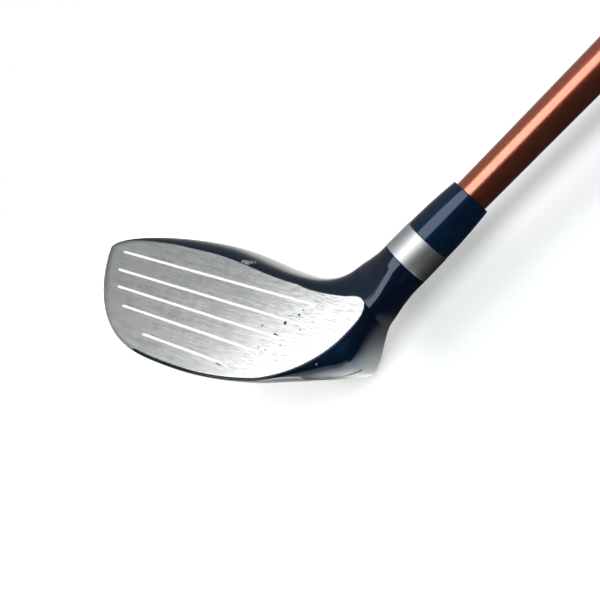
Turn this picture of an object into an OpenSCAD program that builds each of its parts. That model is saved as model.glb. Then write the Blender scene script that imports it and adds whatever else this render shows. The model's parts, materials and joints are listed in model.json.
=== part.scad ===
// Hybrid golf club, lying at rest on its sole and the rim of its grip cap.
// The head is drawn at address: X runs to the heel, Y to the back, Z up,
// with the origin where the shaft axis meets the ground.

/* [Club] */
// Length from the ground at the heel to the butt, along the shaft
club_length = 1022; // [960:1:1060]
// Roll about the shaft at which the club settles on its sole, from face up to toe up
rest_roll = 38.5; // [36:0.1:41]

/* [Head angles] */
// Angle of the shaft to the ground
lie = 58; // [57:0.5:60]
// Angle of the face back from upright
loft = 20; // [17:0.5:24]

/* [Face] */
// Face plane ahead of the shaft axis, at the height of the face's heel tip
face_lead = 7.35; // [7.1:0.05:8.5]
// Lowest point of the face, toward the toe from the shaft axis
face_offset = 29.3; // [27:0.1:33]
// Lowest point of the face to the toe end of the face
toe_reach = 37.6; // [34:0.1:42]
// Height of the toe end of the face
toe_z = 30.1; // [28.5:0.1:31]
// Lowest edge of the face above the ground
face_low_z = 2.6; // [2:0.1:3.5]
// Highest edge of the face above the ground
face_top_z = 35.5; // [34:0.1:37]
// Upper edge of the face, at the notch below the hosel
face_notch_top_z = 33; // [32.4:0.1:33.8]
// Lower edge of the face, at the notch below the hosel
face_notch_low_z = 6.7; // [6.2:0.1:7.6]
// Heel tip of the face, heelward of the shaft axis at the ground
face_tip_x = 22.6; // [21.4:0.1:23.6]
// Height of the heel tip of the face
face_tip_z = 33.4; // [32:0.1:34.2]
// Thickness of the face plate
face_t = 2.3; // [2:0.1:2.8]
// Flat land of the body round the face plate
face_rim = 0.4; // [0.3:0.1:0.6]
// Ledge that the face plate seats on
face_ledge = 1.5; // [1:0.1:2]
// Thickness of the face plate's tab over the hosel
face_tab_t = 1.2; // [1:0.1:1.4]

/* [Score lines] */
// Height of the middle score line, up the face
score_mid = 19.3; // [18:0.1:20]
// Spacing of the inner score lines
score_pitch = 5.3; // [4.8:0.05:5.6]
// Spacing from an inner score line to the outer one
score_outer_pitch = 6.1; // [5.4:0.05:6.3]
// Width of a score line
score_w = 0.8; // [0.5:0.05:1]
// Depth of a score line
score_depth = 0.35; // [0.2:0.05:0.5]
// Depth of the paint below the face
score_paint_drop = 0.1; // [0.05:0.05:0.15]
// Toe ends of the score lines in from the toe end of the face
score_toe_gap = 5.2; // [4:0.1:7]
// Toe ends of the score lines up from the lowest edge of the face
score_low_gap = 3.5; // [3:0.1:4]
// Heel ends of the score lines in from the heel edge of the face
score_heel_gap = 12.8; // [9:0.1:16]

/* [Head form] */
// Leading edge to trailing edge
head_depth = 59.5; // [52:0.5:70]
// Highest point of the crown
crown_z = 39; // [38:0.1:41]
// Crown behind the shaft axis where it is highest
crown_y = 6.2; // [5:0.1:9]
// Lowest line of the sole behind the shaft axis
sole_y = 8.9; // [6.5:0.1:10.5]
// Height of the trailing edge
rear_z = 11.5; // [9:0.5:16]
// Lowest point of the notch between crown and hosel, heelward
notch_x = 2.1; // [1.5:0.1:3]
// Height of the notch between crown and hosel
notch_z = 36.1; // [35.7:0.1:36.6]
// Rise of the sole at the notch
sole_notch_z = 4.7; // [4:0.1:5.4]
// Fill of the notch's round, halfway to the hosel
neck_fill = 1.1; // [0.6:0.1:1.5]
// Upright side of the heel, heelward of the shaft axis at the ground
heel_reach = 30.3; // [28.5:0.1:32]
// Body beyond the toe end of the face
toe_edge = 0.7; // [0.5:0.1:1.2]
// Wall of crown and skirt
wall = 0.9; // [0.8:0.05:1.2]
// Wall of the sole
sole_wall = 2.2; // [2.1:0.05:2.8]

/* [Sole plate] */
// Thickness of the sole plate
sole_plate_t = 1; // [0.8:0.05:1.2]
// Heel end of the sole plate, turned round the notch
sole_plate_heel = 9; // [6:0.5:12]
// Toe end of the sole plate, inward from the toe
sole_plate_toe = 6; // [4:0.5:9]

/* [Hosel] */
// Diameter of the hosel
hosel_d = 13.9; // [13.4:0.1:14.6]
// Top of the hosel above the ground, along the shaft
hosel_top = 53.4; // [52:0.2:58]
// Depth of the hosel bore
bore_depth = 32; // [26:0.5:34]
// Glue film round the shaft tip
glue_t = 0.1; // [0.05:0.05:0.15]
// Height of the trim ring
ring_h = 8; // [6:0.5:12]
// Taper of the trim ring, from the hosel to its top
ring_taper = 0.4; // [0:0.1:0.8]
// Height of the ferrule
ferrule_h = 15.1; // [12:0.1:20]
// Thickness of the ferrule at its top
ferrule_lip = 0.85; // [0.6:0.05:1.2]
// Step in from the trim ring to the ferrule
ferrule_step = 0.1; // [0:0.05:0.3]

/* [Shaft] */
// Diameter of the shaft tip
tip_d = 9.4; // [9:0.1:9.8]
// Length of the parallel tip
tip_len = 82; // [76:1:110]
// Diameter of the shaft at the butt
butt_d = 15.2; // [14.6:0.1:15.6]
// Wall of the shaft at the tip
tip_wall = 2; // [1.6:0.1:2.2]
// Wall of the shaft at the butt
butt_wall = 1.1; // [0.9:0.1:1.5]
// Length of the tip weight's stem
tip_weight_len = 22; // [14:1:30]
// Flange of the tip weight below the shaft's end
tip_weight_flange = 1.5; // [1:0.1:2]

/* [Grip] */
// Length of the grip, without its cap
grip_len = 266; // [240:1:280]
// Thickness of the grip at its mouth
grip_mouth_wall = 1.4; // [1.2:0.05:2]
// Thickness of the grip below its cap
grip_butt_wall = 5.25; // [4:0.05:6.5]
// Thickness of the grip tape
tape_t = 0.35; // [0.2:0.05:0.5]
// Length of the rolled lip at the mouth of the grip
grip_lip_len = 7; // [5:0.5:10]
// Thickness of the grip cap
cap_h = 5; // [4:0.5:7]
// Lip of the grip cap beyond the grip
cap_lip = 1.1; // [0.4:0.1:1.8]
// Diameter of the vent hole in the cap
vent_d = 3; // [2:0.1:4]

/* [Hidden] */
$fn = 64;

// Stations along the head and points on each quarter of a section
toe_stations = 12;
mid_stations = 8;
fan_stations = 18;
front_steps = 7;
crown_steps = 8;
rear_steps = 7;
sole_steps = 8;

// Powers of the toe's rounded outlines: 2 is an ellipse, more is squarer
outline_power_top = 2.2;
outline_power_low = 2.14;
outline_power_crown = 1.83;
outline_power_plan = 2.2;
score_toe_power = 1.9;
// Powers of the blends toward the heel
lower_edge_power = 2.36;
sole_rise_power = 2;
edge_mid_power = 1;
edge_half_power = 0.69;
rear_power = 0.6;
neck_fill_power = 2.3;
// Heel: slope of its underside, squareness of its corner, and the turn and power of its run into the hosel
heel_rise = 0.35;
heel_corner = 8;
heel_leave = 0.48;
heel_leave_power = 0.7;
// How far the ends of a quarter arc pull to its corner
circle_full = 0.5523;
face_edge_full = 0.75;
crown_front_full = 0.6;
crown_back_full = 0.56;
rear_full = 0.55;
sole_full = 0.75;
// Least share of crown and sole that a face edge keeps at the toe, and least crown above it
edge_share = 0.25;
crown_lift = 0.3;
// Length over which the back runs into the hosel past the notch
fan_run = 26;
// Heel ends of the plate's full thickness and of the opening behind it, toeward of the notch
tab_gap = 1.5;
window_gap = 6;
// Half width of the hosel's front line where the face has ended
front_half = 0.6;

// Overlap of a cut beyond the surface that it opens, and of the face opening into the hollow
reach = 2;
window_reach = 0.6;
// Swell of the ferrule between its ends
ferrule_swell = 0.2;
// Bevel at the mouth of the grip
grip_edge = 0.6;
// Round of the cap's rim
cap_edge = 1.8;
cap_steps = 8;

// Derived places
hosel_r = hosel_d / 2;
face_progression = face_lead + face_tip_z * tan(loft);
face_mid_x = -face_offset;
toe_half = toe_reach + toe_edge;
toe_y = face_y(toe_z);
rear_y = head_depth + face_y(face_low_z);
notch_r = (cos(lie) * notch_z - sin(lie) * notch_x - hosel_r) / (1 - cos(lie));
pivot_z = notch_z + notch_r;
hosel_q = notch_r + hosel_r;
tip_turn = atan2(face_tip_x - notch_x, pivot_z - face_tip_z) / lie;
tip_q = norm([face_tip_x - notch_x, pivot_z - face_tip_z]);
bore_r = tip_d / 2 + glue_t;
bore_bottom = hosel_top - bore_depth;
ring_top = hosel_top + ring_h;
ring_top_d = hosel_d - ring_taper;
ferrule_top = ring_top + ferrule_h;
ferrule_foot_d = ring_top_d - 2 * ferrule_step;
ferrule_top_d = tip_d + 2 * ferrule_lip;
shaft_bottom = bore_bottom + tip_weight_flange;
shaft_top = club_length - cap_h;
tip_end = shaft_bottom + tip_len;
grip_bottom = shaft_top - grip_len;
grip_mouth_r = shaft_r(grip_bottom) + tape_t + grip_mouth_wall;
grip_butt_r = shaft_r(shaft_top) + tape_t + grip_butt_wall;
cap_r = grip_butt_r + cap_lip;

// Helper curves
function mix(a, b, k) = a + (b - a) * k;
function clamp(k) = min(1, max(0, k));
function ease(k) = let (c = clamp(k)) c * c * (3 - 2 * c);
function swing(k) = (1 - cos(180 * clamp(k))) / 2;
function dome(k, power) = pow(max(0, 1 - pow(clamp(abs(k)), power)), 1 / power);
function bezier(p, a, b, q, t) =
    pow(1 - t, 3) * p + 3 * t * pow(1 - t, 2) * a + 3 * t * t * (1 - t) * b + t * t * t * q;

// Face plane: its Y at a height
function face_y(z) = -face_progression + z * tan(loft);

// A station is [x, turn]: an upright section at x, or past the notch
// a section turned round the notch's centre by turn times the lie.
function toe_k(x) = (x - face_mid_x) / toe_half;
function mid_k(x) = (x - face_mid_x) / (notch_x - face_mid_x);
function on_toe(x) = x < face_mid_x;

// Heights of the face's edges, crown and sole on an upright section
function face_edge_top(x, inset) = on_toe(x)
    ? toe_z + (face_top_z - inset - toe_z) * dome((x - face_mid_x) / (toe_reach - inset), outline_power_top)
    : mix(face_top_z, face_notch_top_z, swing(mid_k(x))) - inset;
function face_edge_low(x, inset) = on_toe(x)
    ? toe_z - (toe_z - face_low_z - inset) * dome((x - face_mid_x) / (toe_reach - inset), outline_power_low)
    : mix(face_low_z, face_notch_low_z, pow(mid_k(x), lower_edge_power)) + inset;
function crown_line(x) = on_toe(x)
    ? toe_z + (crown_z - toe_z) * dome(toe_k(x), outline_power_crown)
    : mix(crown_z, notch_z, swing(mid_k(x)));
function sole_line(x) = on_toe(x)
    ? toe_z - toe_z * dome(toe_k(x), outline_power_low)
    : sole_notch_z * pow(mid_k(x), sole_rise_power);

// Edges of the face past the notch: distances from the notch's centre
edge_mid_q = pivot_z - (face_notch_top_z + face_notch_low_z) / 2;
edge_half_q = (face_notch_top_z - face_notch_low_z) / 2;
function inset_turn(inset) = tip_turn - inset / hosel_q / lie * 180 / PI;
function edge_left(turn, inset) = clamp(1 - turn / inset_turn(inset));
function edge_q(turn, side, inset) =
    mix(tip_q, edge_mid_q, pow(edge_left(turn, inset), edge_mid_power))
    + side * (edge_half_q - inset) * pow(edge_left(turn, inset), edge_half_power);

// Fraction of the way from the face's lowest point to the hosel
function run(x, turn) = clamp((x - face_mid_x + fan_run * turn) / (notch_x - face_mid_x + fan_run));
function back_y(x, turn) = mix(rear_y, hosel_r, ease(pow(run(x, turn), rear_power)));

// Heel past the notch: its underside and upright side with a rounded corner, run into the hosel
function heel_under(turn) = (pivot_z - sole_notch_z) / (cos(turn * lie) + heel_rise * sin(turn * lie));
function heel_side(turn) = (heel_reach - notch_x) / sin(turn * lie);
function heel_q(turn) =
    pow(pow(heel_under(turn), -heel_corner) + pow(heel_side(turn), -heel_corner), -1 / heel_corner);
function heel_run(turn) = ease(pow(clamp((turn - heel_leave) / (1 - heel_leave)), heel_leave_power));

// Section of the head as [y, q] points, where q is measured down from the notch's centre:
// [upper face edge, lower face edge, crown, rear, sole, lean of the face]
function front_blend(turn) = ease((turn - tip_turn) / (1 - tip_turn));
function front_point(q, turn) =
    [mix(face_y(pivot_z - q * cos(turn * lie)), -hosel_r, front_blend(turn)), q];
function front_q(turn) = mix(tip_q, hosel_q, front_blend(turn));
function turned_section(turn) = let (
        upper_q = min(edge_q(turn, -1, -face_rim), front_q(turn) - front_half),
        lower_q = max(edge_q(turn, 1, -face_rim), front_q(turn) + front_half),
        settle = ease(turn),
        neck = neck_fill * pow(sin(180 * pow(turn, neck_fill_power)), 2),
        sole_q = mix(heel_q(turn), notch_r + hosel_d, heel_run(turn))
    ) [
        front_point(upper_q, turn),
        front_point(lower_q, turn),
        [mix(crown_y, 0, settle), notch_r - neck],
        [back_y(notch_x, turn), mix(pivot_z - rear_z, hosel_q, settle)],
        [mix(sole_y, 0, settle), sole_q],
        cos(turn * lie) * tan(loft) * (1 - front_blend(turn))
    ];
function upright_section(x) = let (
        plan = on_toe(x) ? dome(toe_k(x), outline_power_plan) : 1,
        top_z = max(face_edge_top(x, -face_rim), mix(toe_z, crown_line(x), edge_share)),
        low_z = min(face_edge_low(x, -face_rim), mix(toe_z, sole_line(x), edge_share)),
        rear = on_toe(x) ? mix(toe_y, rear_y, plan) : back_y(x, 0)
    ) [
        [face_y(top_z), pivot_z - top_z],
        [face_y(low_z), pivot_z - low_z],
        [mix(toe_y, crown_y, plan), pivot_z - max(crown_line(x), top_z + crown_lift * plan)],
        [rear, pivot_z - mix(toe_z, rear_z, plan)],
        [mix(toe_y, sole_y, plan), pivot_z - sole_line(x)],
        tan(loft)
    ];
function section(station) = station[1] > 0 ? turned_section(station[1]) : upright_section(station[0]);

// Place of a section's point in the head
function place(station, p) =
    [station[0] + p[1] * sin(station[1] * lie), p[0], pivot_z - p[1] * cos(station[1] * lie)];

// Quarter arc from p to q round a corner, pulled to the corner by two fullness values
function quarter(p, corner, q, from, to, steps) =
    [for (i = [0:steps - 1]) bezier(p, mix(p, corner, from), mix(q, corner, to), q, i / steps)];
function fullness(body, turn) = mix(body, circle_full, ease(turn));

// Corners and arcs of a section: front roll, crown, rear and sole
function front_corner(s) = [s[0][0] + (s[0][1] - s[2][1]) * s[5], s[2][1]];
function sole_corner(s) = [s[1][0] - (s[4][1] - s[1][1]) * s[5], s[4][1]];
function front_arc(s, turn, steps) =
    quarter(s[0], front_corner(s), s[2],
        fullness(face_edge_full, turn), fullness(crown_front_full, turn), steps);
function crown_arc(s, turn, steps) =
    quarter(s[2], [s[3][0], s[2][1]], s[3],
        fullness(crown_back_full, turn), fullness(rear_full, turn), steps);
function rear_arc(s, turn, steps) =
    quarter(s[3], [s[3][0], s[4][1]], s[4],
        fullness(rear_full, turn), fullness(sole_full, turn), steps);
function sole_arc(s, turn, steps) =
    quarter(s[4], sole_corner(s), s[1],
        fullness(sole_full, turn), fullness(face_edge_full, turn), steps);
function ring(station) = let (s = section(station), turn = station[1]) [
    for (p = concat(front_arc(s, turn, front_steps), crown_arc(s, turn, crown_steps),
                    rear_arc(s, turn, rear_steps), sole_arc(s, turn, sole_steps), [s[1]]))
        place(station, p)];

// Stations from the toe to the hosel
stations = concat(
    [for (i = [1:toe_stations]) [face_mid_x - toe_half * cos(90 * i / toe_stations), 0]],
    [for (i = [1:mid_stations]) [mix(face_mid_x, notch_x, i / mid_stations), 0]],
    [for (i = [1:fan_stations]) [notch_x, i / fan_stations]]);
shaft_dir = [cos(lie), 0, sin(lie)];
fan_top = [notch_x, 0, pivot_z] * shaft_dir;
hosel_rings = concat([for (s = stations) ring(s)],
    [[for (p = ring(stations[len(stations) - 1])) p + (hosel_top - fan_top) * shaft_dir]]);
toe_point = [face_mid_x - toe_half, toe_y, toe_z];

// Triangles that close a ring of n points, zigzag from its first and last point to its middle
function zigzag(i, n) = i % 2 == 0 ? i / 2 : n - (i + 1) / 2;
function cap(n, first) = [for (i = [0:n - 3])
    let (a = first + zigzag(i, n), b = first + zigzag(i + 1, n), c = first + zigzag(i + 2, n))
    i % 2 == 0 ? [a, c, b] : [a, b, c]];
function flipped(faces) = [for (f = faces) [f[2], f[1], f[0]]];

// Closed skin through rings of equal length, from a start point or a flat end to a flat end
module skin(rings, start) {
    n = len(rings[0]);
    last = (len(rings) - 1) * n;
    points = concat([for (r = rings) each r], start == undef ? [] : [start]);
    sides = [for (i = [0:len(rings) - 2], j = [0:n - 1], k = [0, 1])
        let (a = i * n + j, b = i * n + (j + 1) % n)
        k == 0 ? [a, b, b + n] : [a, b + n, a + n]];
    point_end = [for (j = [0:n - 1]) [last + n, (j + 1) % n, j]];
    polyhedron(points, concat(sides, start == undef ? flipped(cap(n, 0)) : point_end, cap(n, last)));
}

// Outline of the face plate, in the face plane, with stations of its own between those of the head
outline_toe = 14;
outline_mid = 10;
outline_fan = 14;
outline_stations = concat(
    [for (i = [0:outline_toe - 1]) [face_mid_x - toe_reach * cos(90 * (i + 0.5) / outline_toe), 0]],
    [for (i = [0:outline_mid - 1]) [mix(face_mid_x, notch_x, (i + 0.5) / outline_mid), 0]],
    [for (i = [0:outline_fan - 1]) [notch_x, tip_turn * sin(90 * (i + 0.5) / outline_fan)]]);
function edge_point(station, side, inset) = let (
        x = station[0],
        turn = station[1],
        z = side < 0 ? face_edge_top(x, inset) : face_edge_low(x, inset),
        p = place(station, [0, turn > 0 ? edge_q(turn, side, inset) : pivot_z - z])
    ) [p[0], p[2] / cos(loft)];
function tip_point(inset) = let (turn = inset_turn(inset) * lie)
    [notch_x + tip_q * sin(turn), (pivot_z - tip_q * cos(turn)) / cos(loft)];
function toe_tip(inset) = [face_mid_x - toe_reach + inset, toe_z / cos(loft)];
function face_outline(inset) = let (
        toe_end = face_mid_x - toe_reach + 2 * inset,
        used = [for (s = outline_stations) if (s[0] > toe_end && s[1] < inset_turn(inset)) s]
    ) concat([toe_tip(inset)],
        [for (s = used) edge_point(s, -1, inset)],
        [tip_point(inset)],
        [for (i = [len(used) - 1:-1:0]) edge_point(used[i], 1, inset)]);

// Sets its children on the face plane, drawn as X heelward and Y up the face
module on_face() {
    translate([0, -face_progression, 0]) rotate([90 - loft, 0, 0]) children();
}

// Sets its children on the shaft axis, drawn along Z from the ground
module on_shaft() {
    rotate([0, 90 - lie, 0]) children();
}

// Hollow of the head, from the toe to the solid heel; its round corners leave the low rear heavy
cavity_first = 3;
cavity_stations = [for (i = [cavity_first:toe_stations + mid_stations]) stations[i]];
cavity_steps = 5;
hollow_crown_full = 0.52;
hollow_sole_full = 0.66;
function hollow(p, corner, q, full) = quarter(p, corner, q, full, full, cavity_steps);
function cavity_ring(station) = let (
        s = section(station),
        x = face_mid_x + (station[0] - face_mid_x) * (on_toe(station[0]) ? 1 - wall / toe_half : 1),
        back = (face_t + face_ledge) / cos(loft),
        crown_q = s[2][1] + wall,
        sole_q = s[4][1] - sole_wall,
        upper_q = max(s[0][1] + wall, crown_q + wall),
        lower_q = min(s[1][1] - sole_wall, sole_q - wall),
        upper = [face_y(pivot_z - upper_q) + back, upper_q],
        lower = [face_y(pivot_z - lower_q) + back, lower_q],
        crown = [max(s[2][0], upper[0] + wall), crown_q],
        rear = [s[3][0] - 2 * wall, s[3][1] - sole_wall],
        sole = [max(s[4][0], lower[0] + wall), sole_q],
        inner = [upper, lower, crown, rear, sole, s[5]]
    ) [for (p = concat(hollow(upper, front_corner(inner), crown, hollow_crown_full),
                       hollow(crown, [rear[0], crown_q], rear, hollow_crown_full),
                       hollow(rear, [rear[0], sole_q], sole, hollow_sole_full),
                       hollow(sole, sole_corner(inner), lower, hollow_sole_full),
                       [lower]))
        place([x, station[1]], p)];
module cavity() {
    skin([for (s = cavity_stations) cavity_ring(s)]);
}

// Sole plate: a patch of the sole between the leading and the trailing edge,
// pushed out or in toward a core line inside the head
patch_stations = 20;
patch_steps = 12;
patch_mid = 1.03;
patch_half = 0.63;
patch_power = 3;
function patch_station(k) = let (
        toe_end = face_mid_x - toe_half + sole_plate_toe,
        heel_run = notch_x - toe_end + sole_plate_heel,
        along = (1 - cos(180 * k)) / 2 * heel_run
    ) along < notch_x - toe_end ? [toe_end + along, 0] : [notch_x, (along - notch_x + toe_end) / lie];
function sole_point(s, turn, t) = let (
        body = fullness(sole_full, turn),
        edge = fullness(face_edge_full, turn),
        back = fullness(rear_full, turn),
        front = sole_corner(s),
        rear = [s[3][0], s[4][1]]
    ) t < 1
        ? bezier(s[1], mix(s[1], front, edge), mix(s[4], front, body), s[4], t)
        : bezier(s[4], mix(s[4], rear, body), mix(s[3], rear, back), s[3], t - 1);
function patch_row(k, push) = let (
        station = patch_station(k),
        s = section(station),
        half = patch_half * dome(2 * k - 1, patch_power),
        core = [crown_y, pivot_z - toe_z]
    ) [for (j = [0:patch_steps]) let (
        p = sole_point(s, station[1], patch_mid + half * (2 * j / patch_steps - 1)),
        out = (p - core) / norm(p - core)
    ) place(station, p + out * push)];
module sole_patch(outer, inner) {
    skin([for (i = [1:patch_stations - 1]) let (k = i / patch_stations, under = patch_row(k, inner))
        concat(under, [for (j = [patch_steps:-1:0]) patch_row(k, outer)[j]])]);
}

// Heights of the score lines up the face, from the lowest
score_heights = [for (k = [-2:2]) score_mid + sign(k) * (score_pitch + (abs(k) - 1) * score_outer_pitch)];
heel_edge = [for (s = outline_stations) if (s[0] > face_mid_x) let (p = edge_point(s, 1, 0)) [p[1], p[0]]];
function score_toe_x(v) = face_mid_x - (toe_reach - score_toe_gap)
    * dome((toe_z - v * cos(loft)) / (toe_z - face_low_z - score_low_gap), score_toe_power);
function score_heel_x(v) = lookup(v, heel_edge) - score_heel_gap;

// A straight groove with round ends, between two depths
module score_line(v, top, depth) {
    length = score_heel_x(v) - score_toe_x(v);
    on_face() translate([score_toe_x(v), v, -depth]) linear_extrude(depth - top) {
        translate([0, -score_w / 2]) square([length, score_w]);
        circle(d = score_w);
        translate([length, 0]) circle(d = score_w);
    }
}
module score_fill(i) {
    color("white") at_rest() score_line(score_heights[i], score_paint_drop, score_depth);
}

// Part of an outline on the face that lies toeward of an end
module toe_part(end) {
    width = end - face_mid_x + 2 * toe_reach;
    intersection() {
        children();
        translate([end - width, 0]) square(width);
    }
}

// Face plate outline cut to a thickness, with its thin tab over the hosel
module face_blank(top) {
    on_face() {
        translate([0, 0, -face_tab_t]) linear_extrude(face_tab_t + top) polygon(face_outline(0));
        translate([0, 0, -face_t]) linear_extrude(face_t + top)
            toe_part(notch_x - tab_gap) polygon(face_outline(0));
    }
}

// Opening behind the face plate, smaller than the plate by the ledge
module face_window() {
    on_face() translate([0, 0, -face_t - face_ledge - window_reach])
        linear_extrude(face_ledge + window_reach + reach)
        toe_part(notch_x - window_gap) polygon(face_outline(face_ledge));
}

// Radius of the shaft at a distance from the ground
function shaft_r(a) = mix(tip_d, butt_d, clamp((a - tip_end) / (shaft_top - tip_end))) / 2;

// Radius of the ferrule, swelling a little between its ends
ferrule_steps = 6;
function ferrule_r(k) = mix(ferrule_foot_d, ferrule_top_d, k) / 2 + ferrule_swell * 4 * k * (1 - k);

// Height of the shaft axis over the floor at the head, and the lean that brings the cap down too
function axis_place(p) = [p * shaft_dir, p[1], p[2] * cos(lie) - p[0] * sin(lie)];
function rolled(p) = [p[0], p[2] * cos(rest_roll) + p[1] * sin(rest_roll),
                      p[2] * sin(rest_roll) - p[1] * cos(rest_roll)];
function pitched(p) = [p[0] * cos(rest_pitch) + p[2] * sin(rest_pitch), p[1],
                       p[2] * cos(rest_pitch) - p[0] * sin(rest_pitch)];
head_rolled = [for (r = hosel_rings, p = r) rolled(axis_place(p))];
head_low = min([for (p = head_rolled) p[2]]);
head_low_x = [for (p = head_rolled) if (p[2] == head_low) p[0]][0];
rest_pitch = atan((-head_low - cap_r) / (club_length - cap_h / 2 - head_low_x));
head_rest = [for (p = head_rolled) pitched(p)];
cap_rest = pitched([club_length, 0, 0]);
rest_shift = -[
    (min([for (p = head_rest) p[0]]) + cap_rest[0] + cap_r * sin(rest_pitch)) / 2,
    (max([for (p = head_rest) p[1]]) + min(-cap_r, min([for (p = head_rest) p[1]]))) / 2,
    min([for (p = head_rest) p[2]])
];

// Lays its children on the floor as the club rests
module at_rest() {
    translate(rest_shift) rotate([0, rest_pitch, 0])
        rotate([rest_roll - 90, 0, 0]) rotate([0, lie, 0]) children();
}

module head_body() {
    color("midnightblue") at_rest() difference() {
        skin(hosel_rings, toe_point);
        cavity();
        face_blank(reach);
        face_window();
        sole_patch(reach, -sole_plate_t);
        on_shaft() translate([0, 0, bore_bottom]) cylinder(r = bore_r, h = bore_depth + reach);
    }
}

module face_plate() {
    color("silver") at_rest() difference() {
        face_blank(0);
        for (v = score_heights) score_line(v, -reach, score_depth);
    }
}

module score_paint_1() {
    score_fill(0);
}

module score_paint_2() {
    score_fill(1);
}

module score_paint_3() {
    score_fill(2);
}

module score_paint_4() {
    score_fill(3);
}

module score_paint_5() {
    score_fill(4);
}

module sole_plate() {
    color("gainsboro") at_rest() sole_patch(0, -sole_plate_t);
}

module hosel_ring() {
    color("darkgray") at_rest() on_shaft() difference() {
        translate([0, 0, hosel_top]) cylinder(d1 = hosel_d, d2 = ring_top_d, h = ring_h);
        cylinder(d = tip_d, h = ring_top + reach);
    }
}

module ferrule() {
    color("black") at_rest() on_shaft() rotate_extrude() polygon(concat(
        [[tip_d / 2, ferrule_top], [tip_d / 2, ring_top]],
        [for (i = [0:ferrule_steps]) let (k = i / ferrule_steps)
            [ferrule_r(k), mix(ring_top, ferrule_top, k)]]));
}

module tip_glue() {
    color("khaki") at_rest() on_shaft() difference() {
        translate([0, 0, bore_bottom]) cylinder(r = bore_r, h = bore_depth);
        translate([0, 0, bore_bottom - reach]) cylinder(d = tip_d, h = bore_depth + 2 * reach);
    }
}

module shaft() {
    color("chocolate") at_rest() on_shaft() rotate_extrude() polygon([
        [shaft_r(shaft_bottom) - tip_wall, shaft_bottom],
        [shaft_r(shaft_bottom), shaft_bottom],
        [shaft_r(tip_end), tip_end],
        [shaft_r(shaft_top), shaft_top],
        [shaft_r(shaft_top) - butt_wall, shaft_top],
        [shaft_r(tip_end) - tip_wall, tip_end]
    ]);
}

module tip_weight() {
    color("goldenrod") at_rest() on_shaft() {
        translate([0, 0, bore_bottom]) cylinder(d = tip_d, h = tip_weight_flange);
        translate([0, 0, bore_bottom])
            cylinder(d = tip_d - 2 * tip_wall, h = tip_weight_flange + tip_weight_len);
    }
}

module grip_tape() {
    color("tan") at_rest() on_shaft() rotate_extrude() polygon([
        [shaft_r(grip_bottom), grip_bottom],
        [shaft_r(grip_bottom) + tape_t, grip_bottom],
        [shaft_r(shaft_top) + tape_t, shaft_top],
        [shaft_r(shaft_top), shaft_top]
    ]);
}

module grip() {
    color("dimgray") at_rest() on_shaft() rotate_extrude() polygon([
        [shaft_r(grip_bottom) + tape_t, grip_bottom],
        [grip_mouth_r - grip_edge, grip_bottom],
        [grip_mouth_r, grip_bottom + grip_edge],
        [grip_mouth_r, grip_bottom + grip_lip_len],
        [grip_butt_r, shaft_top],
        [shaft_r(shaft_top) + tape_t, shaft_top]
    ]);
}

module grip_cap() {
    color("dimgray") at_rest() on_shaft() rotate_extrude() polygon(concat(
        [[vent_d / 2, club_length], [vent_d / 2, shaft_top]],
        [for (i = [0:cap_steps]) let (turn = 180 * i / cap_steps - 90)
            [cap_r - cap_edge + cap_edge * cos(turn), shaft_top + cap_h / 2 + cap_h / 2 * sin(turn)]]));
}

head_body();
face_plate();
score_paint_1();
score_paint_2();
score_paint_3();
score_paint_4();
score_paint_5();
sole_plate();
hosel_ring();
ferrule();
tip_glue();
shaft();
tip_weight();
grip_tape();
grip();
grip_cap();
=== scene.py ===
"""Looks of a hybrid golf club lying on a floor.

The head is worked out at address, in millimetres: X runs to the heel, Y to the back, Z up, with the
origin where the shaft axis meets the ground. place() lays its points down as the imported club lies.
"""
import json

import bmesh
import bpy
import numpy as np
from mathutils import Matrix, Vector, geometry


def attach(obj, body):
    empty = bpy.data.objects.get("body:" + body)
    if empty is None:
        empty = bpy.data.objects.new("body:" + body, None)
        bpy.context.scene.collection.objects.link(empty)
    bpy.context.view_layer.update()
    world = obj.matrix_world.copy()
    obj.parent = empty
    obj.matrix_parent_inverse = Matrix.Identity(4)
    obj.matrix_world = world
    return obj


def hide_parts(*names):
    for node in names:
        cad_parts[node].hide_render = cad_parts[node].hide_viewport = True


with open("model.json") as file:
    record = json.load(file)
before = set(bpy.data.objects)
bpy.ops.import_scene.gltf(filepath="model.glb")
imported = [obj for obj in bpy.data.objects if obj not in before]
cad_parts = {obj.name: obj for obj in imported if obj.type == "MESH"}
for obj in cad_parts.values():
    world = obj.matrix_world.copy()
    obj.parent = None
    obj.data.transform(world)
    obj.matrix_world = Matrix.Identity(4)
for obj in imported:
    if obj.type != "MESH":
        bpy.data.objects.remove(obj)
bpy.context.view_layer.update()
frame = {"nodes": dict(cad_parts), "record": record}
nodes = frame["nodes"]

# Sizes of the club, in millimetres and degrees
club_length = 1022
lie = np.radians(58)
loft = np.radians(20)

# Face: place, outline, the rim of the head round it, and score lines
face_lead, face_offset = 7.35, 29.3
toe_reach, toe_z, toe_edge = 38.47, 29.3, 0.47
face_low_z, face_top_z = 2.4, 35.5
face_notch_low_z, face_notch_top_z = 6.7, 33
face_tip_x, face_tip_z = 22.6, 33.0
face_rim, face_rim_low, rim_fade = 0.15, 0.42, 0.15
score_heights = (7.9, 14, 19.3, 24.6, 30.7)
score_w, score_depth = 0.8, 0.35

# Head behind the face
head_depth = 59.5
crown_y, crown_z = 6.2, 39
sole_y, rear_z = 8.9, 11.5
notch_x, notch_z, sole_notch_z = 2.1, 36.1, 4.7
neck_fill = 1.1
heel_reach = 31.6

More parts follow.
